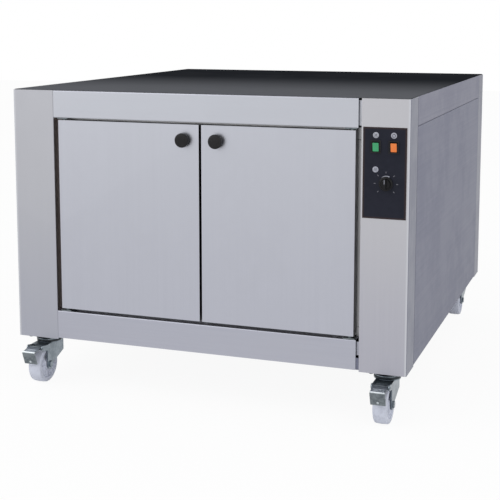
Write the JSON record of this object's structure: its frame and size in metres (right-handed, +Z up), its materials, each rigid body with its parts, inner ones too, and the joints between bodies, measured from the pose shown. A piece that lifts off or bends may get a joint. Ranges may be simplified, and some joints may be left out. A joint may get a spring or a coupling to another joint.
{
  "type": "proofing cabinet",
  "caption": "Low stainless proofing cabinet on castors, with hinged doors, a control column, tray racks, a heater and a deck that carries an oven.",
  "frame": {"origin": "centre of the bounding box at floor level, under the wheels", "axes": "+Z up, doors and controls face -Y, +X to the right when facing the doors"},
  "size_m": [1.08, 1.276, 0.81],
  "materials": {
    "satin_steel": "satin stainless sheet, brushed",
    "side_steel": "satin stainless sheet, in shade grey",
    "dark_deck": "dark matte coated deck sheet",
    "liner_steel": "plain stainless liner sheet",
    "zinc_plate": "bright zinc plate",
    "heater_sheath": "heat-darkened tubular sheath",
    "castor_wheel": "grey polyamide, matte",
    "black_plastic": "black moulded plastic",
    "facia_film": "dark printed film on a plate",
    "green_lens": "translucent green lens",
    "orange_lens": "translucent orange lens",
    "seal_rubber": "dark silicone seal",
    "thermostat_metal": "plain brass and copper"
  },
  "bodies": {
    "cabinet": {"left_front_post": "satin_steel", "control_post": "satin_steel", "left_rear_post": "satin_steel", "right_rear_post": "satin_steel", "top_front_rail": "satin_steel", "bottom_front_rail": "satin_steel", "left_top_band": "side_steel", "right_top_band": "side_steel", "left_side_panel": "side_steel", "right_side_panel": "side_steel", "back_panel": "side_steel", "base_pan": "side_steel", "top_deck": "dark_deck", "chamber_floor": "liner_steel", "chamber_ceiling": "liner_steel", "chamber_left_wall": "liner_steel", "chamber_right_wall": "liner_steel", "chamber_back": "liner_steel", "left_rack": "liner_steel", "right_rack": "liner_steel", "heater_guard": "liner_steel", "front_left_castor_plate": "zinc_plate", "front_right_castor_plate": "zinc_plate", "rear_left_castor_plate": "zinc_plate", "rear_right_castor_plate": "zinc_plate", "left_top_pivot": "zinc_plate", "left_bottom_pivot": "zinc_plate", "right_top_pivot": "zinc_plate", "right_bottom_pivot": "zinc_plate", "heating_element": "heater_sheath", "green_switch_housing": "black_plastic", "orange_switch_housing": "black_plastic", "door_catch": "black_plastic", "terminal_block": "black_plastic", "cable_gland": "black_plastic", "control_facia": "facia_film", "door_seal": "seal_rubber", "thermostat_body": "thermostat_metal", "thermostat_capillary": "thermostat_metal"},
    "left_door": {"left_door_shell": "satin_steel", "left_door_liner": "liner_steel", "left_door_knob": "black_plastic"},
    "right_door": {"right_door_shell": "satin_steel", "right_door_liner": "liner_steel", "right_door_knob": "black_plastic"},
    "green_switch": {"green_rocker": "green_lens"},
    "orange_switch": {"orange_rocker": "orange_lens"},
    "thermostat_dial": {"thermostat_knob": "black_plastic", "thermostat_spindle": "zinc_plate"},
    "water_pan": {"water_pan": "liner_steel"},
    "front_left_swivel": {"front_left_castor_fork": "zinc_plate"},
    "front_left_wheel": {"front_left_castor_wheel": "castor_wheel"},
    "front_right_swivel": {"front_right_castor_fork": "zinc_plate"},
    "front_right_wheel": {"front_right_castor_wheel": "castor_wheel"},
    "rear_left_swivel": {"rear_left_castor_fork": "zinc_plate"},
    "rear_left_wheel": {"rear_left_castor_wheel": "castor_wheel"},
    "rear_right_swivel": {"rear_right_castor_fork": "zinc_plate"},
    "rear_right_wheel": {"rear_right_castor_wheel": "castor_wheel"},
    "front_left_brake": {"front_left_brake_pedal": "zinc_plate"},
    "front_right_brake": {"front_right_brake_pedal": "zinc_plate"}
  },
  "joints": [
    {"name": "left_door_hinge", "type": "hinge", "parent": "cabinet", "child": "left_door", "pos_m": [-0.394, -0.568, 0.218], "axis": [0, 0, -1], "range_deg": [0, 110]},
    {"name": "right_door_hinge", "type": "hinge", "parent": "cabinet", "child": "right_door", "pos_m": [0.394, -0.568, 0.218], "axis": [0, 0, 1], "range_deg": [0, 110]},
    {"name": "green_rocker_tilt", "type": "hinge", "parent": "cabinet", "child": "green_switch", "pos_m": [0.4565, -0.5805, 0.693], "axis": [-1, 0, 0], "range_deg": [0, 16]},
    {"name": "orange_rocker_tilt", "type": "hinge", "parent": "cabinet", "child": "orange_switch", "pos_m": [0.5005, -0.5805, 0.693], "axis": [-1, 0, 0], "range_deg": [0, 16]},
    {"name": "thermostat_turn", "type": "hinge", "parent": "cabinet", "child": "thermostat_dial", "pos_m": [0.4825, -0.5836, 0.604], "axis": [0, 1, 0], "range_deg": [0, 270]},
    {"name": "water_pan_lift", "type": "slide", "parent": "cabinet", "child": "water_pan", "axis": [0, 0, 1], "range_m": [0, 0.04]},
    {"name": "front_left_swivel_turn", "type": "hinge", "parent": "cabinet", "child": "front_left_swivel", "pos_m": [-0.481, -0.5235, 0.12], "axis": [0, 0, 1], "continuous": true},
    {"name": "front_left_wheel_spin", "type": "hinge", "parent": "front_left_swivel", "child": "front_left_wheel", "pos_m": [-0.481, -0.5615, 0.05], "axis": [1, 0, 0], "continuous": true},
    {"name": "front_left_brake_press", "type": "hinge", "parent": "front_left_swivel", "child": "front_left_brake", "pos_m": [-0.481, -0.5995, 0.104], "axis": [1, 0, 0], "range_deg": [0, 14]},
    {"name": "front_right_swivel_turn", "type": "hinge", "parent": "cabinet", "child": "front_right_swivel", "pos_m": [0.481, -0.5235, 0.12], "axis": [0, 0, 1], "continuous": true},
    {"name": "front_right_wheel_spin", "type": "hinge", "parent": "front_right_swivel", "child": "front_right_wheel", "pos_m": [0.481, -0.5615, 0.05], "axis": [1, 0, 0], "continuous": true},
    {"name": "front_right_brake_press", "type": "hinge", "parent": "front_right_swivel", "child": "front_right_brake", "pos_m": [0.481, -0.5995, 0.104], "axis": [1, 0, 0], "range_deg": [0, 14]},
    {"name": "rear_left_swivel_turn", "type": "hinge", "parent": "cabinet", "child": "rear_left_swivel", "pos_m": [-0.481, 0.5605, 0.12], "axis": [0, 0, 1], "continuous": true},
    {"name": "rear_left_wheel_spin", "type": "hinge", "parent": "rear_left_swivel", "child": "rear_left_wheel", "pos_m": [-0.481, 0.5225, 0.05], "axis": [1, 0, 0], "continuous": true},
    {"name": "rear_right_swivel_turn", "type": "hinge", "parent": "cabinet", "child": "rear_right_swivel", "pos_m": [0.481, 0.5605, 0.12], "axis": [0, 0, 1], "continuous": true},
    {"name": "rear_right_wheel_spin", "type": "hinge", "parent": "rear_right_swivel", "child": "rear_right_wheel", "pos_m": [0.481, 0.5225, 0.05], "axis": [1, 0, 0], "continuous": true}
  ]
}
